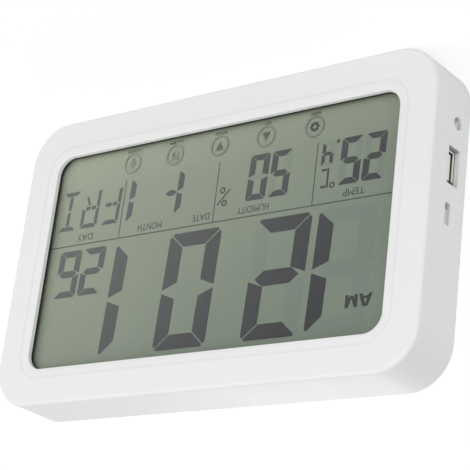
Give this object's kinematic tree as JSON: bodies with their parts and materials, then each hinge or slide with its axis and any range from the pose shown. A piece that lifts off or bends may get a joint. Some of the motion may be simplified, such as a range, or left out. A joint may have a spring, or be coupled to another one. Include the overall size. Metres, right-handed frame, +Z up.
{
  "type": "digital wall clock",
  "caption": "Digital clock for wall or table with a large liquid crystal display, side socket and switches, fold-out stand and battery bay.",
  "frame": {"origin": "centre of the bounding box on the foot side, where the clock stands", "axes": "+X to the right as the face is read, +Y from the face to the wall, +Z up"},
  "size_m": [0.2008, 0.0234, 0.1244],
  "materials": {
    "case_plastic": "satin moulded",
    "cover_plastic": "fine textured",
    "door_plastic": "fine textured",
    "stand_plastic": "fine textured",
    "gasket_foam": "matte foam",
    "lens_clear": "clear, low glare",
    "touch_film": "clear film",
    "display_polariser": "satin film",
    "display_glass": "polished",
    "reflector_film": "silvered film",
    "guide_clear": "clear, dotted back",
    "led_strip": "white solder mask",
    "holder_plastic": "satin moulded",
    "zebra_rubber": "layered silicone",
    "board_laminate": "green solder mask",
    "epoxy_black": "poured epoxy",
    "crystal_can": "drawn can",
    "capacitor_sleeve": "shrink sleeve",
    "sensor_plastic": "moulded",
    "usb_nickel": "nickel plated",
    "usb_plastic": "moulded",
    "contact_gold": "gold flash",
    "switch_steel": "tinned steel",
    "switch_black": "moulded",
    "knob_plastic": "moulded",
    "button_plastic": "moulded",
    "cell_sleeve": "plain sleeve, bright ends",
    "contact_nickel": "nickel plated",
    "lead_red": "insulated wire",
    "lead_black": "insulated wire",
    "sounder_brass": "disc with ceramic",
    "screw_steel": "zinc plated"
  },
  "bodies": {
    "clock": {"front_case": "case_plastic", "window_gasket": "gasket_foam", "window_lens": "lens_clear", "touch_sensor_film": "touch_film", "lcd_front_polariser": "display_polariser", "lcd_glass_cell": "display_glass", "lcd_rear_reflector": "reflector_film", "backlight_guide": "guide_clear", "backlight_led_strip": "led_strip", "display_holder": "holder_plastic", "lcd_zebra_connector": "zebra_rubber", "main_board": "board_laminate", "controller_epoxy": "epoxy_black", "clock_crystal": "crystal_can", "smoothing_capacitor": "capacitor_sleeve", "climate_sensor": "sensor_plastic", "usb_shell": "usb_nickel", "usb_insulator": "usb_plastic", "usb_contact_1": "contact_gold", "usb_contact_2": "contact_gold", "usb_contact_3": "contact_gold", "usb_contact_4": "contact_gold", "slide_switch_frame": "switch_steel", "tact_switch_body": "switch_black", "back_cover": "cover_plastic", "battery_cell_1": "cell_sleeve", "battery_cell_2": "cell_sleeve", "battery_cell_3": "cell_sleeve", "battery_contact_positive": "contact_nickel", "battery_contact_negative": "contact_nickel", "battery_bridge_right": "contact_nickel", "battery_bridge_left": "contact_nickel", "battery_lead_positive": "lead_red", "battery_lead_negative": "lead_black", "sounder_disc": "sounder_brass", "sounder_lead_1": "lead_red", "sounder_lead_2": "lead_black", "cover_screw_1": "screw_steel", "cover_screw_2": "screw_steel", "cover_screw_3": "screw_steel", "cover_screw_4": "screw_steel", "board_screw_1": "screw_steel", "board_screw_2": "screw_steel", "board_screw_3": "screw_steel", "holder_screw_1": "screw_steel", "holder_screw_2": "screw_steel"},
    "stand": {"stand_leg": "stand_plastic"},
    "door": {"battery_door": "door_plastic"},
    "button": {"push_button_cap": "button_plastic", "tact_switch_plunger": "switch_black"},
    "slider": {"slide_switch_knob": "knob_plastic"}
  },
  "joints": [
    {"name": "stand_hinge", "type": "hinge", "parent": "clock", "child": "stand", "pos_m": [0, 0.01, 0.0665], "axis": [1, 0, 0], "range_deg": [0, 35]},
    {"name": "door_tilt", "type": "hinge", "parent": "clock", "child": "door", "pos_m": [0, 0.0117, 0.11575], "axis": [1, 0, 0], "range_deg": [0, 60]},
    {"name": "button_press", "type": "slide", "parent": "clock", "child": "button", "axis": [1, 0, 0], "range_m": [0, 0.0005], "stiffness_N_per_m": 400, "springref_m": -0.0005},
    {"name": "switch_slide", "type": "slide", "parent": "clock", "child": "slider", "axis": [0, 0, 1], "range_m": [-0.002, 0]}
  ]
}
